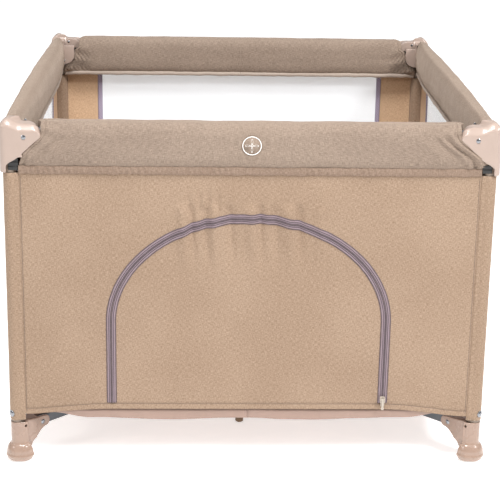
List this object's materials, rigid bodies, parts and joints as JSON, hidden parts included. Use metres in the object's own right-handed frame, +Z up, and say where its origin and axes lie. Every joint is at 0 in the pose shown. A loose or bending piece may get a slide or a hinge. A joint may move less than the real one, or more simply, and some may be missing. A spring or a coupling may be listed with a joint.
{
  "type": "folding square playpen",
  "caption": "Square folding playpen with padded top rails on corner legs, cloth front wall with an arched zip door, mesh walls, a lift-out mat and a base that folds up by a central hub.",
  "frame": {"origin": "on the floor, under the middle of the pen", "axes": "+X to the right seen from the front, +Y from the zip door to the back, +Z up"},
  "size_m": [1.011, 1.011, 0.738],
  "materials": {
    "leg_paint": "powder coated steel tube",
    "cap_plastic": "moulded plastic, satin gloss",
    "foot_plastic": "moulded plastic, satin gloss",
    "rivet_steel": "zinc plated steel",
    "arm_paint": "painted flat steel tube",
    "rail_paint": "painted steel tube",
    "latch_plastic": "moulded nylon",
    "button_plastic": "moulded plastic",
    "cover_cloth": "padded linen-look polyester",
    "wall_cloth": "linen-look polyester",
    "mesh_cloth": "fine white mesh with cloth edges",
    "base_nylon": "coated base cloth",
    "mat_cloth": "quilted mat cover over board",
    "strap_webbing": "woven webbing",
    "zip_tape": "woven zip tape with a nylon coil",
    "zip_metal": "painted zinc casting",
    "emblem_cloth": "embroidered badge",
    "hub_plastic": "moulded nylon",
    "peg_plastic": "turned plastic peg"
  },
  "bodies": {
    "post_front_left": {"leg_tube_front_left": "leg_paint", "corner_cap_front_left": "cap_plastic", "foot_front_left": "foot_plastic", "rivets_front_left": "rivet_steel", "front_panel": "wall_cloth", "zip_tape_panel": "zip_tape", "mesh_wall_left": "mesh_cloth"},
    "post_front_right": {"leg_tube_front_right": "leg_paint", "corner_cap_front_right": "cap_plastic", "foot_front_right": "foot_plastic", "rivets_front_right": "rivet_steel", "mesh_wall_right": "mesh_cloth"},
    "post_back_right": {"leg_tube_back_right": "leg_paint", "corner_cap_back_right": "cap_plastic", "foot_back_right": "foot_plastic", "rivets_back_right": "rivet_steel"},
    "post_back_left": {"leg_tube_back_left": "leg_paint", "corner_cap_back_left": "cap_plastic", "foot_back_left": "foot_plastic", "rivets_back_left": "rivet_steel", "mesh_wall_back": "mesh_cloth"},
    "arm_front_left": {"base_arm_front_left": "arm_paint"},
    "arm_front_right": {"base_arm_front_right": "arm_paint"},
    "arm_back_right": {"base_arm_back_right": "arm_paint"},
    "arm_back_left": {"base_arm_back_left": "arm_paint"},
    "hub": {"hub": "hub_plastic", "hub_pins": "rivet_steel", "hub_foot": "hub_plastic", "pull_strap": "strap_webbing", "base_cloth": "base_nylon"},
    "mat": {"floor_mat": "mat_cloth", "mat_foot": "peg_plastic"},
    "rail_front_left": {"half_rail_front_left": "rail_paint"},
    "rail_front_right": {"half_rail_front_right": "rail_paint"},
    "latch_front": {"latch_front": "latch_plastic", "rail_cover_front": "cover_cloth", "emblem": "emblem_cloth"},
    "button_front": {"latch_button_front": "button_plastic"},
    "rail_right_front": {"half_rail_right_front": "rail_paint"},
    "rail_right_back": {"half_rail_right_back": "rail_paint"},
    "latch_right": {"latch_right": "latch_plastic", "rail_cover_right": "cover_cloth"},
    "button_right": {"latch_button_right": "button_plastic"},
    "rail_back_right": {"half_rail_back_right": "rail_paint"},
    "rail_back_left": {"half_rail_back_left": "rail_paint"},
    "latch_back": {"latch_back": "latch_plastic", "rail_cover_back": "cover_cloth"},
    "button_back": {"latch_button_back": "button_plastic"},
    "rail_left_back": {"half_rail_left_back": "rail_paint"},
    "rail_left_front": {"half_rail_left_front": "rail_paint"},
    "latch_left": {"latch_left": "latch_plastic", "rail_cover_left": "cover_cloth"},
    "button_left": {"latch_button_left": "button_plastic"},
    "door": {"door_flap": "wall_cloth", "zip_tape_flap": "zip_tape"},
    "zip_stop": {"zip_stop": "zip_metal"},
    "zip_slider": {"zip_slider": "zip_metal"},
    "zip_pull": {"zip_pull": "zip_metal"}
  },
  "joints": [
    {"name": "frame_fold", "type": "hinge", "parent": "post_front_left", "child": "arm_front_left", "pos_m": [-0.4404, -0.4404, 0.068], "axis": [0.7071, -0.7071, 0], "range_deg": [0, 84], "deforming": ["front_panel", "door_flap", "zip_tape_panel", "zip_tape_flap", "mesh_wall_left", "mesh_wall_right", "mesh_wall_back", "base_cloth", "floor_mat", "rail_cover_front", "rail_cover_right", "rail_cover_back", "rail_cover_left"]},
    {"name": "hub_level", "type": "hinge", "parent": "arm_front_left", "child": "hub", "pos_m": [-0.03253, -0.03253, 0.052], "axis": [-0.7071, 0.7071, 0], "range_deg": [0, 84]},
    {"name": "arm_swing_front_right", "type": "hinge", "parent": "hub", "child": "arm_front_right", "pos_m": [0.03253, -0.03253, 0.052], "axis": [0.7071, 0.7071, 0], "range_deg": [0, 84]},
    {"name": "post_level_front_right", "type": "hinge", "parent": "arm_front_right", "child": "post_front_right", "pos_m": [0.4404, -0.4404, 0.068], "axis": [-0.7071, -0.7071, 0], "range_deg": [0, 84]},
    {"name": "arm_swing_back_right", "type": "hinge", "parent": "hub", "child": "arm_back_right", "pos_m": [0.03253, 0.03253, 0.052], "axis": [-0.7071, 0.7071, 0], "range_deg": [0, 84]},
    {"name": "post_level_back_right", "type": "hinge", "parent": "arm_back_right", "child": "post_back_right", "pos_m": [0.4404, 0.4404, 0.068], "axis": [0.7071, -0.7071, 0], "range_deg": [0, 84]},
    {"name": "arm_swing_back_left", "type": "hinge", "parent": "hub", "child": "arm_back_left", "pos_m": [-0.03253, 0.03253, 0.052], "axis": [-0.7071, -0.7071, 0], "range_deg": [0, 84]},
    {"name": "post_level_back_left", "type": "hinge", "parent": "arm_back_left", "child": "post_back_left", "pos_m": [-0.4404, 0.4404, 0.068], "axis": [0.7071, 0.7071, 0], "range_deg": [0, 84]},
    {"name": "rail_drop_front", "type": "hinge", "parent": "post_front_left", "child": "rail_front_left", "pos_m": [-0.45, -0.48, 0.70334], "axis": [0, 1, 0], "range_deg": [0, 84]},
    {"name": "latch_level_front", "type": "hinge", "parent": "rail_front_left", "child": "latch_front", "pos_m": [-0.04213, -0.48, 0.71466], "axis": [0, -1, 0], "range_deg": [0, 84]},
    {"name": "rail_rise_front", "type": "hinge", "parent": "latch_front", "child": "rail_front_right", "pos_m": [0.04213, -0.48, 0.71466], "axis": [0, -1, 0], "range_deg": [0, 84]},
    {"name": "latch_press_front", "type": "slide", "parent": "latch_front", "child": "button_front", "axis": [0, 0, 1], "range_m": [0, 0.008], "stiffness_N_per_m": 400},
    {"name": "rail_drop_right", "type": "hinge", "parent": "post_front_right", "child": "rail_right_front", "pos_m": [0.48, -0.45, 0.70334], "axis": [-1, 0, 0], "range_deg": [0, 84]},
    {"name": "latch_level_right", "type": "hinge", "parent": "rail_right_front", "child": "latch_right", "pos_m": [0.48, -0.04213, 0.71466], "axis": [1, 0, 0], "range_deg": [0, 84]},
    {"name": "rail_rise_right", "type": "hinge", "parent": "latch_right", "child": "rail_right_back", "pos_m": [0.48, 0.04213, 0.71466], "axis": [1, 0, 0], "range_deg": [0, 84]},
    {"name": "latch_press_right", "type": "slide", "parent": "latch_right", "child": "button_right", "axis": [0, 0, 1], "range_m": [0, 0.008], "stiffness_N_per_m": 400},
    {"name": "rail_drop_back", "type": "hinge", "parent": "post_back_left", "child": "rail_back_left", "pos_m": [-0.45, 0.48, 0.70334], "axis": [0, 1, 0], "range_deg": [0, 84]},
    {"name": "latch_level_back", "type": "hinge", "parent": "rail_back_left", "child": "latch_back", "pos_m": [-0.04213, 0.48, 0.71466], "axis": [0, -1, 0], "range_deg": [0, 84]},
    {"name": "rail_rise_back", "type": "hinge", "parent": "latch_back", "child": "rail_back_right", "pos_m": [0.04213, 0.48, 0.71466], "axis": [0, -1, 0], "range_deg": [0, 84]},
    {"name": "latch_press_back", "type": "slide", "parent": "latch_back", "child": "button_back", "axis": [0, 0, 1], "range_m": [0, 0.008], "stiffness_N_per_m": 400},
    {"name": "rail_drop_left", "type": "hinge", "parent": "post_front_left", "child": "rail_left_front", "pos_m": [-0.48, -0.45, 0.70334], "axis": [-1, 0, 0], "range_deg": [0, 84]},
    {"name": "latch_level_left", "type": "hinge", "parent": "rail_left_front", "child": "latch_left", "pos_m": [-0.48, -0.04213, 0.71466], "axis": [1, 0, 0], "range_deg": [0, 84]},
    {"name": "rail_rise_left", "type": "hinge", "parent": "latch_left", "child": "rail_left_back", "pos_m": [-0.48, 0.04213, 0.71466], "axis": [1, 0, 0], "range_deg": [0, 84]},
    {"name": "latch_press_left", "type": "slide", "parent": "latch_left", "child": "button_left", "axis": [0, 0, 1], "range_m": [0, 0.008], "stiffness_N_per_m": 400},
    {"name": "mat_lift", "type": "slide", "parent": "hub", "child": "mat", "axis": [0, 0, 1], "range_m": [0, 0.15]},
    {"name": "zip_gather", "type": "slide", "parent": "post_front_left", "child": "zip_stop", "axis": [-1, 0, 0], "range_m": [0, 0.56233]},
    {"name": "zip_travel", "type": "slide", "parent": "zip_stop", "child": "zip_slider", "axis": [0, 0, 1], "range_m": [0, 0.168]},
    {"name": "pull_tab", "type": "hinge", "parent": "zip_slider", "child": "zip_pull", "pos_m": [0.2825, -0.5001, 0.1445], "axis": [-1, 0, 0], "range_deg": [0, 150]},
    {"name": "door_open", "type": "hinge", "parent": "post_front_left", "child": "door", "pos_m": [0, -0.4905, 0.131], "axis": [1, 0, 0], "range_deg": [0, 105]}
  ],
  "couplings": [
    {"joint": "hub_level", "follows": "frame_fold", "ratio": 1},
    {"joint": "arm_swing_front_right", "follows": "frame_fold", "ratio": 1},
    {"joint": "post_level_front_right", "follows": "frame_fold", "ratio": 1},
    {"joint": "arm_swing_back_right", "follows": "frame_fold", "ratio": 1},
    {"joint": "post_level_back_right", "follows": "frame_fold", "ratio": 1},
    {"joint": "arm_swing_back_left", "follows": "frame_fold", "ratio": 1},
    {"joint": "post_level_back_left", "follows": "frame_fold", "ratio": 1},
    {"joint": "rail_drop_front", "follows": "frame_fold", "ratio": 1},
    {"joint": "latch_level_front", "follows": "frame_fold", "ratio": 1},
    {"joint": "rail_rise_front", "follows": "frame_fold", "ratio": 1},
    {"joint": "rail_drop_right", "follows": "frame_fold", "ratio": 1},
    {"joint": "latch_level_right", "follows": "frame_fold", "ratio": 1},
    {"joint": "rail_rise_right", "follows": "frame_fold", "ratio": 1},
    {"joint": "rail_drop_back", "follows": "frame_fold", "ratio": 1},
    {"joint": "latch_level_back", "follows": "frame_fold", "ratio": 1},
    {"joint": "rail_rise_back", "follows": "frame_fold", "ratio": 1},
    {"joint": "rail_drop_left", "follows": "frame_fold", "ratio": 1},
    {"joint": "latch_level_left", "follows": "frame_fold", "ratio": 1},
    {"joint": "rail_rise_left", "follows": "frame_fold", "ratio": 1},
    {"joint": "mat_lift", "follows": "frame_fold", "m_per_rad": 0.10231},
    {"joint": "zip_gather", "follows": "frame_fold", "m_per_rad": 0.38356}
  ]
}
